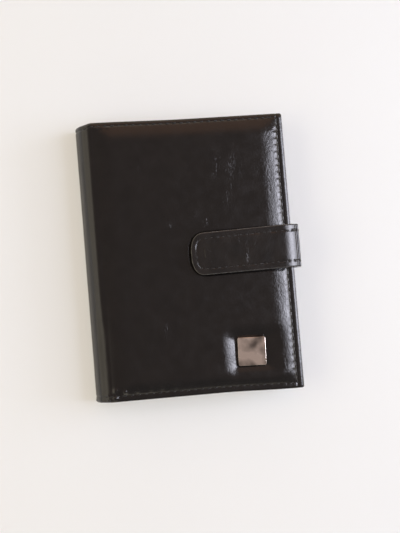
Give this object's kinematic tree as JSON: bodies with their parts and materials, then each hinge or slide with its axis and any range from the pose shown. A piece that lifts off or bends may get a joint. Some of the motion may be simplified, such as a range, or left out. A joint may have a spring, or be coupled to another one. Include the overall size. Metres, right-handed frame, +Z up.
{
  "type": "travel document wallet",
  "caption": "Closed black leather wallet for a passport and travel papers, with a padded front, slanted spine, snap tab over the opening edge and a bare square metal plate.",
  "frame": {"origin": "on the outer face of the back cover, at the middle of the closed cover's width and height", "axes": "+Y along the spine towards the top edge, +X from the spine to the opening edge, +Z up out of the front cover"},
  "size_m": [0.1104, 0.14, 0.0188],
  "materials": {
    "leather": "black, glossy, fine grain",
    "lining": "black woven lining",
    "pocket": "black thin leather, satin",
    "tab_lining": "black suede side",
    "board": "grey board",
    "foam": "soft foam sheet",
    "nickel": "polished nickel plate",
    "steel": "nickel plated steel"
  },
  "bodies": {
    "back_cover": {"back_leather": "leather", "back_board": "board", "back_lining": "lining", "passport_flap": "pocket", "ticket_flap": "pocket", "tab_anchor": "leather"},
    "spine": {"spine_leather": "leather", "spine_stay": "board", "spine_lining": "lining"},
    "front_cover": {"front_leather": "leather", "front_foam": "foam", "front_board": "board", "front_lining": "lining", "card_slot_1": "pocket", "card_slot_2": "pocket", "card_slot_3": "pocket", "badge_plate": "nickel", "badge_backing": "steel", "snap_stud": "steel", "snap_post": "steel"},
    "tab_side": {"tab_side_leather": "leather", "tab_side_lining": "tab_lining"},
    "tab_flap": {"tab_flap_leather": "leather", "tab_flap_stiffener": "board", "tab_flap_lining": "tab_lining", "snap_socket": "steel", "snap_cap": "steel"}
  },
  "joints": [
    {"name": "back_fold", "type": "hinge", "parent": "back_cover", "child": "spine", "pos_m": [-0.0525, 0, 0.00225], "axis": [0, -1, 0], "range_deg": [0, 124]},
    {"name": "front_fold", "type": "hinge", "parent": "spine", "child": "front_cover", "pos_m": [-0.04586, 0, 0.0139], "axis": [0, -1, 0], "range_deg": [0, 50]},
    {"name": "tab_root", "type": "hinge", "parent": "back_cover", "child": "tab_side", "pos_m": [0.05615, 0.0005, 0.00255], "axis": [0, 1, 0], "range_deg": [0, 90]},
    {"name": "tab_fold", "type": "hinge", "parent": "tab_side", "child": "tab_flap", "pos_m": [0.05472, 0.0005, 0.01597], "axis": [0, 1, 0], "range_deg": [0, 90]}
  ],
  "couplings": [
    {"joint": "front_fold", "follows": "back_fold", "ratio": 0.40323},
    {"joint": "tab_fold", "follows": "tab_root", "ratio": 1}
  ]
}
